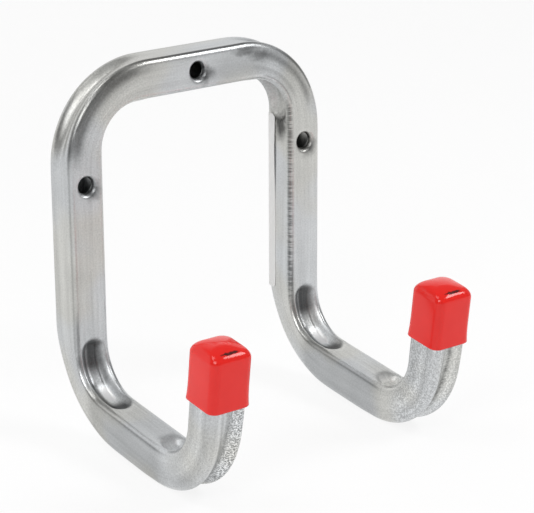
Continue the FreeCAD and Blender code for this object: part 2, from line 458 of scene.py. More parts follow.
def straight_marks(start, end):
    """Fractions of a straight at which it has a station, closer together at a hole."""
    length = (end - start).length
    way = (end - start) / length
    marks = []
    for hole in HOLE_CENTRES:
        at = (hole - start).dot(way)
        aside = (hole - start) - way * at
        if abs(aside.x) + abs(aside.z) < MM and 0 < at < length:
            steps = round(2 * HALF_FLAT / HOLE_STEP)
            marks += [at - HALF_FLAT + 2 * HALF_FLAT * step / steps for step in range(steps + 1)]
    stops = [0, *marks[:1], *marks[-1:], length]
    for low, high in zip(stops[::2], stops[1::2]):
        steps = max(1, math.ceil((high - low) / STRAIGHT_STEP))
        marks += [low + (high - low) * step / steps for step in range(1, steps)]
    return sorted(mark / length for mark in marks if 0 < mark < length)


def bend_stations(bend):
    """Stations round one bend, with the distance along its inner wall."""
    shift = -bend.side * SCOOP_SHIFT if bend.radii == LEG_RADII else 0
    stations = []
    inner_points = []
    for angle in bend.angles():
        outward = bend.outward(angle)
        inner = bend.reach(angle, bend.radii[0], -HALF_SIDE)
        outer = bend.reach(angle, bend.radii[1], HALF_SIDE)
        inner_points.append(bend.centre + outward * inner)
        stretch_in = (bend.route_radius - inner) / HALF_SIDE
        stretch_out = (outer - bend.route_radius) / HALF_SIDE
        place = bend.centre + outward * bend.route_radius
        if bend.radii == TOP_RADII:
            axes = (outward, Vector((0, -1, 0)), Vector((-1, 0, 0)))
        else:
            axes = (Vector((bend.side, 0, 0)), -outward, Vector((0, 1, 0)))
        stations.append(Station(place, *axes, (stretch_in, stretch_out), shift))
    for way in (1, -1):
        travelled = 0
        index = len(stations) // 2
        while 0 <= index + way < len(stations):
            travelled += (inner_points[index + way] - inner_points[index]).length
            index += way
            stations[index].along = shift + way * travelled
    return stations


def straight_stations(last, first):
    """Stations between the end of one bend and the start of the next."""
    stations = []
    for part in straight_marks(last.place, first.place):
        place = last.place.lerp(first.place, part)
        owner = last if part < 0.5 else first
        gap = (place - owner.place).length
        along = owner.along + (gap if part < 0.5 else -gap)
        stations.append(Station(
            place, last.side_axis, last.front_axis, owner.inner_way, (1, 1), along
        ))
    return stations


def end_station(place, near, along):
    """The station at an end of the tube, with the axes of a station near it."""
    return Station(place, near.side_axis, near.front_axis, near.inner_way, (1, 1), along)


def tube_stations():
    """Every station from the left upright's end, over the U, to the right one's."""
    inside_cap = (CAP_GRIP - CAP_SOCKET) / UPRIGHT_LENGTH
    sides = []
    for x in (-LEG_X, LEG_X):
        foot, hook, end = side_corners(x)
        sides.append([end.lerp(hook, inside_cap), hook, foot, Vector((x, -HALF_SIDE, 0))])
    corners = sides[0] + sides[1][::-1]
    kinds = [HOOK_RADII, LEG_RADII, TOP_RADII, TOP_RADII, LEG_RADII, HOOK_RADII]
    groups = []
    for index, radii in enumerate(kinds):
        groups.append(bend_stations(Bend(*corners[index:index + 3], radii)))
    stations = [end_station(corners[0], groups[0][0], -FAR_AWAY)]
    finish = end_station(corners[-1], groups[-1][-1], FAR_AWAY)
    for group in groups + [[finish]]:
        stations += straight_stations(stations[-1], group[0])
        stations += group
    return stations


def path_object(stations):
    """The tube's route as a chain of edges that carries its section's axes."""
    mesh = bpy.data.meshes.new("tube route")
    edges = [(index, index + 1) for index in range(len(stations) - 1)]
    mesh.from_pydata([station.place for station in stations], edges, [])
    for name in ("side_axis", "front_axis", "inner_way"):
        layer = mesh.attributes.new(name, "FLOAT_VECTOR", "POINT")
        for item, station in zip(layer.data, stations):
            item.vector = getattr(station, name)
    for before, after in zip(stations, stations[1:]):
        after.travelled = before.travelled + (after.place - before.place).length
    for name in ("stretch_in", "stretch_out", "along", "travelled"):
        layer = mesh.attributes.new(name, "FLOAT", "POINT")
        layer.data.foreach_set("value", [getattr(station, name) for station in stations])
    path = bpy.data.objects.new("tube route", mesh)
    bpy.context.collection.objects.link(path)
    return path


def carried(tree, name, kind):
    """An attribute that the route carries into the tube's node tree."""
    inputs = {"Name": name}
    node = add_node(tree, "GeometryNodeInputNamedAttribute", inputs, data_type=kind)
    return node.outputs["Attribute"]


def carried_number(tree, name):
    return Number(tree, carried(tree, name, "FLOAT"))


def section_outline(tree, inset, cuts):
    """A square outline with points at even steps, its corners rolled round."""
    sides = {"Width": TUBE_SIDE, "Height": TUBE_SIDE}
    square = add_node(tree, "GeometryNodeCurvePrimitiveQuadrilateral", sides).outputs[0]
    finer = add_node(tree, "GeometryNodeSubdivideCurve", {"Curve": square, "Cuts": cuts})
    position = tree.nodes.new("GeometryNodeInputPosition")
    across, up, _ = vector_parts(tree, position.outputs[0])
    flat_across = across.at_most(HALF_FLAT).at_least(-HALF_FLAT)
    flat_up = up.at_most(HALF_FLAT).at_least(-HALF_FLAT)
    beyond_across = across - flat_across
    beyond_up = up - flat_up
    beyond = length_of(beyond_across, beyond_up)
    corner = inset * -1.0 + TUBE_CORNER
    new_across = flat_across + beyond_across / beyond * corner
    new_up = flat_up + beyond_up / beyond * corner
    inputs = {"Geometry": finer.outputs[0], "Position": vector_of(tree, new_across, new_up)}
    return add_node(tree, "GeometryNodeSetPosition", inputs).outputs[0]


def captured(tree, geometry, vector):
    """Geometry and a vector remembered on its points."""
    node = tree.nodes.new("GeometryNodeCaptureAttribute")
    node.capture_items.new("VECTOR", "Place")
    feed(tree, node, {"Geometry": geometry, "Place": vector})
    return node.outputs["Geometry"], node.outputs["Place"]


def bend_marks(across, inward, along, sizes):
    """How far a point of the section moves inward and sideways, and its mark masks."""
    off_middle = across.absolute()
    past_floor = along.absolute() - (sizes["Scoop Half Length"] - sizes["Scoop Half Width"])
    from_spine = length_of(past_floor.at_least(0.0), off_middle)
    scoop = from_spine.fading(sizes["Scoop Floor"], sizes["Scoop Half Width"])
    run = along / sizes["Scoop Half Length"]
    deepness = (run * run * -SCOOP_RISE + 1.0).at_least(0.0)
    on_inner = (inward + sizes["Inset"]).above(HALF_SIDE * WALL_SHARE)
    scoop_depth = scoop * deepness * on_inner * sizes["Scoop Depth"]

    ridge_window = along.absolute().fading(RIDGE_FULL, sizes["Scoop Half Length"])
    ridge = off_middle.bell(RIDGE_PLACE, RIDGE_WIDTH) * ridge_window * on_inner
    ridge = ridge * sizes["Ridge Height"]

    valley_end = sizes["Valley Half Length"] * VALLEY_END
    valley_window = along.absolute().fading(VALLEY_FULL, valley_end)
    turn = off_middle.at_most(VALLEY_HALF_WIDTH) * (math.pi / VALLEY_HALF_WIDTH)
    wave = turn.joined("COSINE") * 0.5 + 0.5
    on_outer = (inward * -1.0 + sizes["Inset"]).above(HALF_SIDE * WALL_SHARE)
    valley_depth = wave * valley_window * on_outer * sizes["Valley Depth"]

    lean = (inward * -1.0 + CHEEK_START).at_least(0.0) / (HALF_SIDE + CHEEK_START)
    cheek = lean * lean * valley_window * sizes["Cheek Depth"]
    sideways = across / HALF_SIDE * cheek * -1.0
    return valley_depth + ridge - scoop_depth, sideways, scoop * on_inner, valley_window


def tube_inputs(tree):
    """The tube tree's named inputs and output, and its sizes as numbers."""
    face = tree.interface
    face.new_socket("Geometry", in_out="INPUT", socket_type="NodeSocketGeometry")
    face.new_socket("Geometry", in_out="OUTPUT", socket_type="NodeSocketGeometry")
    for name, value in TREE_SIZES.items():
        socket = face.new_socket(name, in_out="INPUT", socket_type="NodeSocketFloat")
        socket.default_value = value
    face.new_socket("Cuts", in_out="INPUT", socket_type="NodeSocketInt")
    face.new_socket("Material", in_out="INPUT", socket_type="NodeSocketMaterial")
    given = tree.nodes.new("NodeGroupInput").outputs
    return given, {name: Number(tree, given[name]) for name in TREE_SIZES}


def swept_section(tree, given, inset):
    """The section swept along the route, with every point's place on each of the two."""
    where = tree.nodes.new("GeometryNodeInputPosition").outputs[0]
    route = add_node(tree, "GeometryNodeMeshToCurve", {0: given["Geometry"]}).outputs[0]
    route, centre = captured(tree, route, where)
    outline = section_outline(tree, inset, given["Cuts"])
    outline, spot = captured(tree, outline, where)
    curves = {"Curve": route, "Profile Curve": outline}
    return add_node(tree, "GeometryNodeCurveToMesh", curves).outputs[0], centre, spot


def tube_tree():
    """Geometry nodes that sweep the tube's section along its route and press its marks."""
    tree = bpy.data.node_groups.new("bent square tube", "GeometryNodeTree")
    given, sizes = tube_inputs(tree)
    sweep, centre, spot = swept_section(tree, given, sizes["Inset"])

    sideward, frontward, _ = vector_parts(tree, spot)
    way_side, way_front, _ = vector_parts(tree, carried(tree, "inner_way", "FLOAT_VECTOR"))
    inward = sideward * way_side + frontward * way_front
    across = sideward * way_front - frontward * way_side
    along = carried_number(tree, "along")
    push, sideways, scoop, window = bend_marks(across, inward, along, sizes)

    inner_side = inward.above(0.0)
    inner_stretch = carried_number(tree, "stretch_in") * inner_side
    outer_stretch = carried_number(tree, "stretch_out") * inner_side.reverse()
    new_inward = inward * (inner_stretch + outer_stretch) + push
    new_across = across + sideways
    new_side = new_inward * way_side + new_across * way_front
    new_front = new_inward * way_front - new_across * way_side

    side_step = scaled(tree, carried(tree, "side_axis", "FLOAT_VECTOR"), new_side)
    front_step = scaled(tree, carried(tree, "front_axis", "FLOAT_VECTOR"), new_front)
    off_route = vector_maths(tree, "ADD", side_step, front_step)
    place = vector_maths(tree, "ADD", centre, off_route)
    moved = add_node(tree, "GeometryNodeSetPosition", {"Geometry": sweep, "Position": place})

    grain_place = vector_of(tree, carried_number(tree, "travelled"), sideward, frontward)
    geometry = moved.outputs[0]
    for name, kind, value in (
        ("scoop", "FLOAT", scoop), ("bend", "FLOAT", window), ("inward", "FLOAT", inward),
        ("across", "FLOAT", across), ("grain_place", "FLOAT_VECTOR", grain_place),
    ):
        inputs = {"Geometry": geometry, "Name": name, "Value": value}
        store = add_node(tree, "GeometryNodeStoreNamedAttribute", inputs, data_type=kind)
        geometry = store.outputs[0]
    real = add_node(tree, "GeometryNodeRealizeInstances", {0: geometry}).outputs[0]
    inputs = {"Geometry": real, "Material": given["Material"]}
    finish = add_node(tree, "GeometryNodeSetMaterial", inputs)
    add_node(tree, "NodeGroupOutput", {0: finish.outputs[0]})
    return tree


def grown(source, tree, name, values):
    """Mesh that a geometry tree makes from an object, with its named inputs set."""
    modifier = source.modifiers.new(name, "NODES")
    modifier.node_group = tree
    for item in tree.interface.items_tree:
        if item.item_type == "SOCKET" and item.name in values:
            modifier[item.identifier] = values[item.name]
    depsgraph = bpy.context.evaluated_depsgraph_get()
    mesh = bpy.data.meshes.new_from_object(source.evaluated_get(depsgraph), depsgraph=depsgraph)
    source.modifiers.remove(modifier)
    return mesh


def show(name, shell, material, smooth=True):
    """Turns a closed shell into a finished piece that rides on the root."""
    turned_outward(shell)
    mesh = bpy.data.meshes.new(name)
    shell.to_mesh(mesh)
    shell.free()
    mesh.materials.append(material)
    for polygon in mesh.polygons:
        polygon.use_smooth = smooth
    piece = bpy.data.objects.new(name, mesh)
    bpy.context.collection.objects.link(piece)
    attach(piece, "root")
    return piece


def cut_window(shell, hole, depth):
    """Opens a square window in one wall round a screw hole and returns its rim."""
    faces = []
    for face in shell.faces:
        centre = face.calc_center_median()
        aside = max(abs(centre.x - hole.x), abs(centre.z - hole.z))
        if aside < HALF_FLAT and abs(centre.y + depth) < SAME_PLANE:
            faces.append(face)
    inside = set(faces)
    rim = [
        edge for face in faces for edge in face.edges
        if sum(other in inside for other in edge.link_faces) == 1
    ]
    ring = ordered_ring(rim)
    bmesh.ops.delete(shell, geom=faces, context="FACES")
    return ring


def ordered_ring(edges):
    """Vertices of the closed ring that the first edge belongs to, in order."""
    left = set(edges[1:])
    ring = list(edges[0].verts)
    while ring[-1] != ring[0]:
        edge = next(item for item in ring[-1].link_edges if item in left)
        left.remove(edge)
        ring.append(edge.other_vert(ring[-1]))
    return ring[:-1]


def ring_at(shell, pattern, hole, radius, depth):
    """A circle of new vertices that faces each vertex of a ring pattern."""
    grain_place = shell.verts.layers.float_vector["grain_place"]
    if hole.x == 0:
        way, aside = Vector((1, 0, 0)), Vector((0, 0, 1))
    else:
        way = Vector((0, 0, -math.copysign(1, hole.x)))
        aside = Vector((math.copysign(1, hole.x), 0, 0))
    ring = []
    for vert in pattern:
        offset = Vector((vert.co.x - hole.x, 0, vert.co.z - hole.z)).normalized()
        place = Vector((hole.x, -depth, hole.z)) + offset * radius
        made = shell.verts.new(place, vert)
        moved = place - vert.co
        made[grain_place] = vert[grain_place] + Vector((moved.dot(way), moved.dot(aside), 0))
        ring.append(made)
    return ring


def joined_rings(shell, first, second):
    """A band of faces between two closed rings of as many vertices."""
    count = len(first)
    for index in range(count):
        after = (index + 1) % count
        shell.faces.new((first[index], first[after], second[after], second[index]))


def front_circles():
    """Radius and distance from the wall of the circles round a rolled lip."""
    circles = []
    for step in range(LIP_STEPS + 1):
        turn = math.pi / 2 * step / LIP_STEPS
        radius = HOLE_RADIUS + LIP_RADIUS * (1 - math.sin(turn))
        circles.append((radius, TUBE_SIDE - LIP_DEPTH * (1 - math.cos(turn))))
    tip = TUBE_SIDE - LIP_DEPTH - LIP_STRAIGHT
    behind = HOLE_RADIUS + TUBE_WALL
    circles += [
        (HOLE_RADIUS, tip), (HOLE_RADIUS + TUBE_WALL / 2, tip - LIP_ROUND),
        (behind, tip), (behind + LIP_SPREAD, tip + MM),
        (HOLE_RADIUS + LIP_RADIUS, TUBE_SIDE - TUBE_WALL),
    ]
    return circles


def punch(shell, hole):
    """A screw hole through both walls, its front wall rolled in by the punch."""
    back_circles = [
        (HOLE_RADIUS + BACK_CHAMFER, 0), (HOLE_RADIUS, BACK_CHAMFER), (HOLE_RADIUS, TUBE_WALL)
    ]
    for skin, lining, circles in (
        (TUBE_SIDE, TUBE_SIDE - TUBE_WALL, front_circles()), (0, TUBE_WALL, back_circles)
    ):
        rim = cut_window(shell, hole, skin)
        inner_rim = cut_window(shell, hole, lining)
        rings = [rim] + [ring_at(shell, rim, hole, *circle) for circle in circles]
        for first, second in zip(rings, rings[1:]):
            joined_rings(shell, first, second)
        bridged(shell, rings[-1], inner_rim)


def winding(ring):
    """The way that a closed ring of vertices turns."""
    total = Vector((0, 0, 0))
    for vert, after in zip(ring, ring[1:] + ring[:1]):
        total += vert.co.cross(after.co)
    return total


def bridged(shell, first, second):
    """Triangles between two closed rings that may differ in their number of vertices."""
    if winding(first).dot(winding(second)) < 0:
        second = second[::-1]
    nearest = min(
        range(len(second)), key=lambda index: (second[index].co - first[0].co).length
    )
    first = first + first[:1]
    second = second[nearest:] + second[:nearest + 1]
    one, two = 0, 0
    while one < len(first) - 1 or two < len(second) - 1:
        ahead_one = first[min(one + 1, len(first) - 1)]
        ahead_two = second[min(two + 1, len(second) - 1)]
        shorter = (ahead_one.co - second[two].co).length < (ahead_two.co - first[one].co).length
        if two == len(second) - 1 or (shorter and one < len(first) - 1):
            shell.faces.new((first[one], ahead_one, second[two]))
            one += 1
        else:
            shell.faces.new((first[one], ahead_two, second[two]))
            two += 1


def closed_ends(shell):
    """Joins the skin to the lining round each of the tube's two open ends."""
    left = [edge for edge in shell.edges if len(edge.link_faces) == 1]
    rings = []
    while left:
        rings.append(ordered_ring(left))
        done = set(rings[-1])
        left = [edge for edge in left if edge.verts[0] not in done]
    while rings:
        ring = rings.pop()
        partner = min(
            rings, key=lambda other: min((vert.co - ring[0].co).length for vert in other)
        )
        rings.remove(partner)
        bridged(shell, ring, partner)


def turned_outward(shell):
    """Makes every face of a closed shell point outwards."""
    shell.normal_update()
    bmesh.ops.recalc_face_normals(shell, faces=shell.faces)
    if shell.calc_volume(signed=True) < 0:
        bmesh.ops.reverse_faces(shell, faces=shell.faces)


def bent_tube(metal):
    """The whole tube: skin and lining swept by the tree, then punched and closed."""
    path = path_object(tube_stations())
    tree = tube_tree()
    shell = bmesh.new()
    for inset, step in ((0.0, SKIN_STEP), (TUBE_WALL, LINING_STEP)):
        cuts = round(TUBE_SIDE / step) - 1
        skin = grown(path, tree, "sweep", {"Inset": inset, "Cuts": cuts, "Material": metal})
        shell.from_mesh(skin)
        bpy.data.meshes.remove(skin)
    bpy.data.objects.remove(path)
    for hole in HOLE_CENTRES:
        punch(shell, hole)
    closed_ends(shell)
    tube = show("bent_tube", shell, metal)
    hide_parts("hook_tube")


def soft_square(half, corner, height):
    """Points of a level square with round corners."""
    points = []
    for quarter in range(4):
        turn = Matrix.Rotation(math.pi / 2 * quarter, 3, "Z")
        for step in range(CAP_CORNER_STEPS + 1):
            angle = math.pi / 2 * step / CAP_CORNER_STEPS
            x = half - corner + corner * math.cos(angle)
            y = half - corner + corner * math.sin(angle)
            points.append(turn @ Vector((x, y, height)))
    return points


def cap_outlines():
    """Outlines of a cap about its own rim: socket, rim, skirt, round shoulder and crown."""
    half = HALF_SIDE + CAP_WALL
    height = CAP_GRIP + CAP_TOP
    shoulder_inset = CAP_SHOULDER * (1 - math.cos(CAP_SHOULDER_TURN))
    crown_span = half - shoulder_inset
    crown_rise = crown_span / math.tan(CAP_SHOULDER_TURN) / 2
    skirt = height - crown_rise - CAP_SHOULDER * math.sin(CAP_SHOULDER_TURN)
    outlines = [
        soft_square(HALF_SIDE, TUBE_CORNER, CAP_SOCKET),
        soft_square(HALF_SIDE, TUBE_CORNER, CAP_RIM),
        soft_square(HALF_SIDE + CAP_RIM, TUBE_CORNER + CAP_RIM, 0),
        soft_square(half + CAP_FLARE - CAP_RIM, CAP_CORNER, 0),
    ]
    for part in CAP_SKIRT_LEVELS:
        flare = CAP_FLARE * max(0, 1 - part / CAP_FLARE_SHARE) ** 2
        outlines.append(soft_square(half + flare, CAP_CORNER, max(CAP_RIM, skirt * part)))
    for step in range(1, CAP_SHOULDER_STEPS + 1):
        angle = CAP_SHOULDER_TURN * step / CAP_SHOULDER_STEPS
        inset = CAP_SHOULDER * (1 - math.cos(angle))
        corner = CAP_CORNER + inset * CAP_CORNER_GROWTH
        outlines.append(soft_square(
            half - inset, corner, skirt + CAP_SHOULDER * math.sin(angle)
        ))
    corner_share = (CAP_CORNER + shoulder_inset * CAP_CORNER_GROWTH) / crown_span
    for reach in CAP_CROWN_REACHES:
        size = crown_span * reach
        share = corner_share + (1 - corner_share) * (1 - reach)
        outlines.append(soft_square(size, size * share, height - crown_rise * reach ** 2))
    return outlines


def end_cap(name, node, x, vinyl):
    """One red cap, pushed down over the end of an upright."""
    shell = bmesh.new()
    rings = [[shell.verts.new(point) for point in points] for points in cap_outlines()]
    for first, second in zip(rings, rings[1:]):
        joined_rings(shell, first, second)
    shell.faces.new(rings[0])
    shell.faces.new(rings[-1])
    own_place = shell.verts.layers.float_vector.new("cap_place")
    for vert in shell.verts:
        vert[own_place] = vert.co
    lean = Matrix.Rotation(UPRIGHT_LEAN, 4, "X")
    rim = side_corners(x)[2] - lean @ Vector((0, 0, CAP_GRIP))
    bmesh.ops.transform(shell, matrix=Matrix.Translation(rim) @ lean, verts=shell.verts)
    cap = show(name, shell, vinyl)
    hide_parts(node)


def label_sheet(strip, clearance):
    """Rows of vertices of one side of the label, at a clearance from the leg."""
    rows = []
    for row in range(LABEL_ROWS + 1):
        z = LABEL_LOW + (LABEL_HIGH - LABEL_LOW) * row / LABEL_ROWS
        from_end = min(z - LABEL_LOW, LABEL_HIGH - z)
        trim = 0
        if from_end < LABEL_CORNER:
            trim = LABEL_CORNER - math.sqrt(LABEL_CORNER ** 2 - (LABEL_CORNER - from_end) ** 2)
        raised = math.exp(-((z - LIFT_MIDDLE) / LIFT_SPAN) ** 2)
        line = []
        for column in range(LABEL_COLUMNS + 1):
            part = column / LABEL_COLUMNS
            y = LABEL_BACK + (LABEL_FRONT + trim - LABEL_BACK) * part
            gap = clearance + LIFT_HEIGHT * raised * part ** 3
            line.append(strip.verts.new(Vector((LEG_X - HALF_SIDE - gap, y, z))))
        rows.append(line)
    return rows


def paper_label(paper):
    """A paper strip stuck inside the right leg, lifting along part of its front edge."""
    strip = bmesh.new()
    clearances = (LABEL_CLEARANCE, LABEL_CLEARANCE + LABEL_THICKNESS)
    sheets = [label_sheet(strip, clearance) for clearance in clearances]
    rims = []
    for rows in sheets:
        for lower, upper in zip(rows, rows[1:]):
            for column in range(LABEL_COLUMNS):
                strip.faces.new((
                    lower[column], lower[column + 1], upper[column + 1], upper[column]
                ))
        rims.append(
            rows[0] + [line[-1] for line in rows[1:]] + rows[-1][-2::-1]
            + [line[0] for line in rows[-2:0:-1]]
        )
    joined_rings(strip, *rims)
    show("paper_label", strip, paper, smooth=False)


def new_material(name):
    """A material with its node tree and its shader."""
    material = bpy.data.materials.new(name)
    material.use_nodes = True
    tree = material.node_tree
    return material, tree, tree.nodes["Principled BSDF"]


def stored_attribute(tree, name):
    """An attribute of the mesh, as its node."""
    return add_node(tree, "ShaderNodeAttribute", {}, attribute_name=name)


def stored_number(tree, name):
    return Number(tree, stored_attribute(tree, name).outputs["Fac"])


def millimetres(tree, place):
    """The three numbers of a place in metres, turned into millimetres."""
    return [part / MM for part in vector_parts(tree, place)]


def noise_node(tree, place, waves, detail, roughness=0.5):
    """Noise from 0 to 1 with its own number of waves to the metre, also along each axis."""
    stretch = waves if isinstance(waves, tuple) else (waves, waves, waves)
    inputs = {
        "Vector": vector_maths(tree, "MULTIPLY", place, stretch),
        "Scale": 1, "Detail": detail, "Roughness": roughness,
    }
    return add_node(tree, "ShaderNodeTexNoise", inputs)


def noise(tree, place, waves, detail, roughness=0.5):
    return Number(tree, noise_node(tree, place, waves, detail, roughness).outputs["Fac"])


def jittered(tree, place, waves, reach):
    """A place moved at random, by up to about half the reach along each axis."""
    colour = noise_node(tree, place, waves, 2.0).outputs["Color"]
    centred = vector_maths(tree, "SUBTRACT", colour, (0.5, 0.5, 0.5))
    return vector_maths(tree, "ADD", place, scaled(tree, centred, reach))


def blended(tree, factor, first, second):
    """Colour from the first, where the factor is 0, to the second, where it is 1."""
    node = add_node(tree, "ShaderNodeMix", {"Factor": factor}, data_type="RGBA")
    slots = [index for index, item in enumerate(node.inputs) if item.type == "RGBA"]
    feed(tree, node, dict(zip(slots, (first, second))))
    return next(item for item in node.outputs if item.type == "RGBA")


def add_relief(tree, shader, height, distance, strength=1.0):
    """Lets a number show as the fine relief of a material."""
    inputs = {"Height": height, "Distance": distance, "Strength": strength}
    bump = add_node(tree, "ShaderNodeBump", inputs)
    feed(tree, shader, {"Normal": bump.outputs[0]})


def smudge(place, centre, reach, soft=0.2):
    """1 in the middle of an oval spot, up to the soft share of its reach, and 0 outside it."""
    offsets = [(part - middle) / size for part, middle, size in zip(place, centre, reach)]
    return length_of(*offsets).fading(soft, 1.0)


def line_along(sideward, frontward, place, width):
    """1 on a line that runs along the tube at one place of its section."""
    return sideward.bell(place[0], width) * frontward.bell(place[1], width)


class TubePlace:
    """Where a point of the tube's surface is, in millimetres, and what was pressed there."""

    def __init__(self, tree):
        self.here = tree.nodes.new("ShaderNodeTexCoord").outputs["Object"]
        self.grain_place = stored_attribute(tree, "grain_place").outputs["Vector"]
        self.x, self.y, self.z = millimetres(tree, self.here)
        self.ragged = millimetres(tree, jittered(tree, self.here, 260, 5 * MM))
        _, self.sideward, self.frontward = millimetres(tree, self.grain_place)
        self.across = stored_number(tree, "across") / MM
        self.outer = (stored_number(tree, "inward") / MM).fading(-9, -5)
        self.scoop = stored_number(tree, "scoop")
        self.bend = stored_number(tree, "bend")
        self.on_right = self.x.above(0.0)
        flip = self.on_right * -2.0 + 1.0
        self.leftward = self.sideward * flip
        self.legward = stored_number(tree, "along") / MM * flip
        self.hooks = self.y.fading(-112, -98)


def tube_stretches(at):
    """Named stretches of the tube that marks run on."""
    arms = at.y.fading(-36, -26) * at.y.fading(-88, -100)
    return {
        "top run": at.z.above(-16) * at.x.absolute().fading(24, 50),
        "whole top": at.z.above(-20) * at.x.fading(42, 30).mixed(0.6, 1.0),
        "top left bend": smudge(at.ragged, (-65, -14, -8), (32, 16, 40), 0.6),
        "legs": at.z.fading(-30, -22) * at.z.fading(-128, -142),
        "leg bends": smudge((at.x.absolute(), at.y, at.z), (67, -20, -150), (25, 42, 45), 0.7),
        "arms": arms,
        "right arm": arms * at.on_right,
        "hooks": at.hooks,
    }


def shade_and_spot_marks(at, patchy):
    """Masks and strengths of the painted dark bands, the dark spots and the painted shade in the
    holes.
    """
    marks = []
    for place, width, centre, reach, strength in BANDS:
        band = at.sideward.bell(place, width) * at.frontward.fading(*FRONT_FACE)
        marks.append((band * smudge(at.ragged, centre, reach, 0.6) * patchy, strength))
    for centre, reach, strength in DARK_SPOTS:
        marks.append((smudge(at.ragged, centre, reach) * patchy, strength))
    for hole in HOLE_CENTRES:
        mouth = (hole.x / MM, MOUTH_Y, hole.z / MM)
        marks.append((smudge((at.x, at.y, at.z), mouth, MOUTH_REACH, 0.7), MOUTH_STRENGTH))
    return marks


def scoop_marks(at, leg_bends, patchy):
    """Masks and strengths of the painted shades and the painted highlight patch in the leg bends'
    scoops.
    """
    marks = []
    for sides, ends, strength, is_patchy in SCOOP_SHADES:
        mask = at.scoop * at.legward.fading(*ends) * leg_bends
        if sides:
            mask = mask * at.leftward.fading(*sides)
        if is_patchy:
            mask = mask * patchy
        marks.append((mask, strength))
    sides, ends, strength = LOWER_RIM
    rim = at.scoop * at.scoop.reverse() * 4.0
    marks.append((rim * at.leftward.fading(*sides) * at.legward.fading(*ends) * leg_bends, strength))
    sides, ends, strength = PAINTED_HIGHLIGHT
    patch = at.scoop * at.leftward.bell(*sides) * at.legward.bell(*ends)
    marks.append((patch * leg_bends, strength))
    return marks


def line_marks(at, stretches):
    """Masks and strengths of the lines that run along the tube, mostly painted shade by its edges.
    """
    marks = []
    for sideways, lines in ((at.leftward, SIDE_LINES), (at.sideward, TOP_LINES)):
        for stretch, place, width, strength in lines:
            line = line_along(sideways, at.frontward, place, width)
            marks.append((line * stretches[stretch], strength))
    return marks


def weld_painted_light_and_groove_marks(at, stretches, ticks):
    """Masks and strengths of the weld, the painted shade band round the top left bend, the painted
    shade and light on the arms' faces and the dark line in the groove under the hooks.
    """
    weld = line_along(at.leftward, at.frontward, *EDGE_LINE) * at.on_right * stretches["legs"]
    depth, sides, band_strength = OUTER_BAND
    band = at.frontward.bell(*depth) * at.sideward.fading(*sides) * stretches["top left bend"]
    left_face = at.leftward.fading(*LEFT_FACE[0]) * stretches["arms"]
    upper_face = at.frontward.fading(*UPPER_FACE[0]) * stretches["right arm"]
    middle, strength, more_on_right = GROOVE
    groove = at.across.bell(*middle) * at.outer * at.hooks
    return [
        (weld * ticks.mixed(0.15, 0.62), 1.0), (band, band_strength),
        (left_face, LEFT_FACE[1]), (upper_face, UPPER_FACE[1]),
        (groove, strength), (groove * at.on_right * ticks, more_on_right),
    ]


def tone_left(tree, at, streaks):
    """How much of the zinc's tone is left under all of its marks."""
    patchy = streaks.mixed(0.55, 1.35)
    ticks = noise(tree, at.grain_place, (1100, 90, 90), 1.0).fading(0.56, 0.44)
    stretches = tube_stretches(at)
    marks = shade_and_spot_marks(at, patchy) + scoop_marks(at, stretches["leg bends"], patchy)
    marks += line_marks(at, stretches) + weld_painted_light_and_groove_marks(at, stretches, ticks)
    shares = [mask * -strength + 1.0 for mask, strength in marks]
    left = shares[0]
    for share in shares[1:]:
        left = left * share
    return left


def hammered_areas(at):
    """Where the hooks are hammered: hard on the left one's inner lobe, lightly on the right."""
    left_lobe = at.x.fading(-30, -20) * at.x.fading(-62, -70)
    return at.hooks * at.outer * left_lobe, at.hooks * at.on_right.mixed(0.35, 1.0)


def galvanised_steel():
    """Dull zinc-coated steel: streaked lengthwise, smoother on its rolled edges, with dark spots,
    hammered hooks, and painted shade and highlights at the bends and edges.
    """
    metal, tree, shader = new_material("galvanised steel")
    at = TubePlace(tree)
    streaks = noise(tree, at.grain_place, (25, 700, 700), 4.0, 0.6)
    bands = noise(tree, at.grain_place, (9, 160, 160), 2.0)
    clouds = noise(tree, at.here, 55, 3.0)
    grit = noise(tree, at.here, 1100, 2.0, 0.7)
    dents = noise(tree, at.here, 1200, 1.0).fading(0.68, 0.36)
    hard, light = hammered_areas(at)
    hook_scoop = at.scoop * at.y.fading(-100, -80)

    tone = streaks.mixed(-0.2, 0.2) + bands.mixed(-0.2, 0.2) + clouds.mixed(-0.15, 0.15)
    tone = tone + (grit - 0.5) * at.bend.mixed(0.5, 0.8) + 1.0
    tone = tone + (dents - 0.47) * (hard * clouds.mixed(0.3, 1.6) + light * clouds.mixed(0.1, 0.7))
    # The hooks' scoops are painted lighter, which softens their shade
    tone = tone * (hook_scoop * 0.2 + 1.0)
    tone = tone * tone_left(tree, at, streaks)

    cast = noise(tree, at.here, 28, 1.0).fading(0.6, 0.4)
    plain = blended(tree, cast, ZINC_WARM, ZINC_COOL)
    corner = line_along(at.sideward.absolute(), at.frontward.absolute(), *EDGE_LINE)
    rough = clouds.mixed(0.34, 0.46) + at.scoop * 0.08 - corner * 0.08 + hook_scoop * 0.11
    colour = scaled(tree, plain, tone)
    feed(tree, shader, {"Base Color": colour, "Roughness": rough, "Metallic": 1})

    relief = grit * at.bend.mixed(0.2, 0.4) + streaks * 0.12 + dents * (hard + light * 0.4)
    add_relief(tree, shader, relief, ZINC_RELIEF)
    return metal


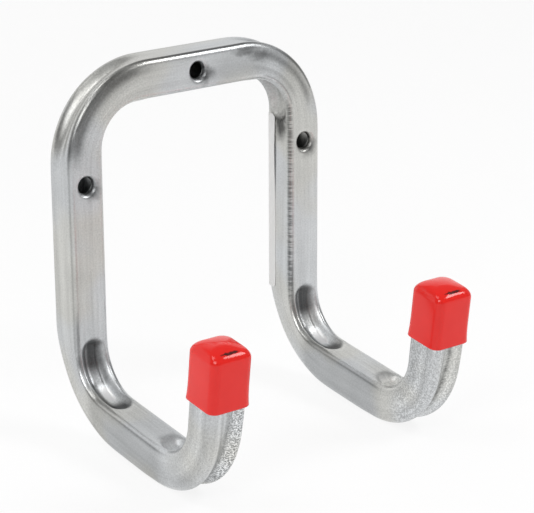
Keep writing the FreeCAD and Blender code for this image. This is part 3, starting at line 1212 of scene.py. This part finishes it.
def red_vinyl():
    """Glossy soft red vinyl, with a dark streak on the crown."""
    vinyl, tree, shader = new_material("red vinyl")
    place = stored_attribute(tree, "cap_place").outputs["Vector"]
    cloud = noise(tree, place, 90, 2.0)
    ripple = noise(tree, place, 140, 1.0)
    ragged = millimetres(tree, jittered(tree, place, 500, 2.2 * MM))
    centre, reach, strength = CROWN_STREAK
    streak = smudge(ragged, centre, reach, 0.55) * strength
    colour = blended(tree, streak, blended(tree, cloud, VINYL_DEEP, VINYL_BRIGHT), CROWN_DARK)
    rough = ripple.mixed(0.10, 0.16)
    feed(tree, shader, {"Base Color": colour, "Roughness": rough, "Specular IOR Level": 0.4})
    add_relief(tree, shader, ripple, VINYL_RELIEF, 0.15)
    return vinyl


def label_paper():
    """Plain white label paper, a little uneven."""
    paper, tree, shader = new_material("label paper")
    here = tree.nodes.new("ShaderNodeTexCoord").outputs["Object"]
    fibre = noise(tree, here, (900, 900, 300), 2.0)
    colour = blended(tree, fibre, LABEL_GREY, LABEL_WHITE)
    feed(tree, shader, {"Base Color": colour, "Roughness": 0.6})
    return paper


def camera():
    """The photographer's camera."""
    data = bpy.data.cameras.new("photo camera")
    data.lens = FOCAL_PIXELS * data.sensor_width / IMAGE_WIDTH
    data.shift_x = (FRAME_CENTRE[0] - IMAGE_CENTRE[0]) / IMAGE_WIDTH
    data.shift_y = (IMAGE_CENTRE[1] - FRAME_CENTRE[1]) / IMAGE_WIDTH
    data.clip_start = 0.01
    azimuth = Matrix.Rotation(-CAMERA_AZIMUTH, 4, "Z")
    tilt = Matrix.Rotation(math.pi / 2 - CAMERA_ELEVATION, 4, "X")
    roll = Matrix.Rotation(CAMERA_ROLL, 4, "Z")
    step_back = Matrix.Translation((0, 0, CAMERA_DISTANCE))
    eye = bpy.data.objects.new("photo camera", data)
    eye.matrix_world = Matrix.Translation(CAMERA_TARGET) @ azimuth @ tilt @ roll @ step_back
    bpy.context.collection.objects.link(eye)
    bpy.context.scene.camera = eye


def softbox(name, way, distance, size, power):
    """A rectangular lamp that shines on the hook from one direction."""
    way = Vector(way).normalized()
    data = bpy.data.lights.new(name, "AREA")
    data.shape = "RECTANGLE"
    data.size, data.size_y = size
    data.energy = power
    lamp = bpy.data.objects.new(name, data)
    lamp.location = LIT_POINT + way * distance
    lamp.rotation_euler = way.to_track_quat("Z", "Y").to_euler()
    bpy.context.collection.objects.link(lamp)


def sheet(name, start, across, along, material):
    """A flat four-cornered piece of the studio, from one corner across and along."""
    start, across, along = Vector(start), Vector(across), Vector(along)
    corners = [start, start + across, start + across + along, start + along]
    mesh = bpy.data.meshes.new(name)
    mesh.from_pydata(corners, [], [(0, 1, 2, 3)])
    mesh.materials.append(material)
    card = bpy.data.objects.new(name, mesh)
    bpy.context.collection.objects.link(card)


def seen_white(tree, shader, share):
    """Makes a sheet mostly plain white to the eye and in reflections, with a faint shadow."""
    path = tree.nodes.new("ShaderNodeLightPath")
    seen = Number(tree, path.outputs["Is Camera Ray"])
    for name in ("Is Glossy Ray", "Is Transmission Ray"):
        seen = seen.at_least(Number(tree, path.outputs[name]))
    white = tree.nodes.new("ShaderNodeEmission")
    inputs = {0: seen * share, 1: shader.outputs[0], 2: white.outputs[0]}
    both = add_node(tree, "ShaderNodeMixShader", inputs)
    feed(tree, tree.nodes["Material Output"], {"Surface": both.outputs[0]})


def floor(level):
    """White floor that catches a faint shadow."""
    paper, tree, shader = new_material("white paper")
    feed(tree, shader, {"Base Color": FLOOR_WHITE, "Roughness": 0.9})
    seen_white(tree, shader, 0.85)
    corner = (-FLOOR_SIDE / 2, -FLOOR_SIDE / 2, level)
    sheet("floor", corner, (FLOOR_SIDE, 0, 0), (0, FLOOR_SIDE, 0), paper)


def lit_wall(level):
    """Glowing white wall behind the hook."""
    glow, tree, shader = new_material("lit wall")
    feed(tree, shader, {"Base Color": WALL_WHITE, "Emission Color": LIGHT_WHITE})
    feed(tree, shader, {"Emission Strength": 0.8})
    seen_white(tree, shader, 1.0)
    corner = (-WALL_SIDE / 2, WALL_DISTANCE, level)
    sheet("lit wall", corner, (WALL_SIDE, 0, 0), (0, 0, WALL_TOP - level), glow)


def studio():
    """Floor, lit wall, softboxes and the dim light of the room."""
    level = CAD_BOX[0].z - FLOOR_GAP
    floor(level)
    lit_wall(level)
    world = bpy.data.worlds.new("studio")
    bpy.context.scene.world = world
    world.use_nodes = True
    tree = world.node_tree
    feed(tree, tree.nodes["Background"], {"Color": LIGHT_WHITE, "Strength": 0.3})
    for row in SOFTBOXES:
        softbox(*row)
    bpy.context.scene.view_settings.view_transform = "Standard"


bent_tube(galvanised_steel())
red = red_vinyl()
end_cap("left_end_cap", "left_cap", -LEG_X, red)
end_cap("right_end_cap", "right_cap", LEG_X, red)
paper_label(label_paper())
camera()
studio()
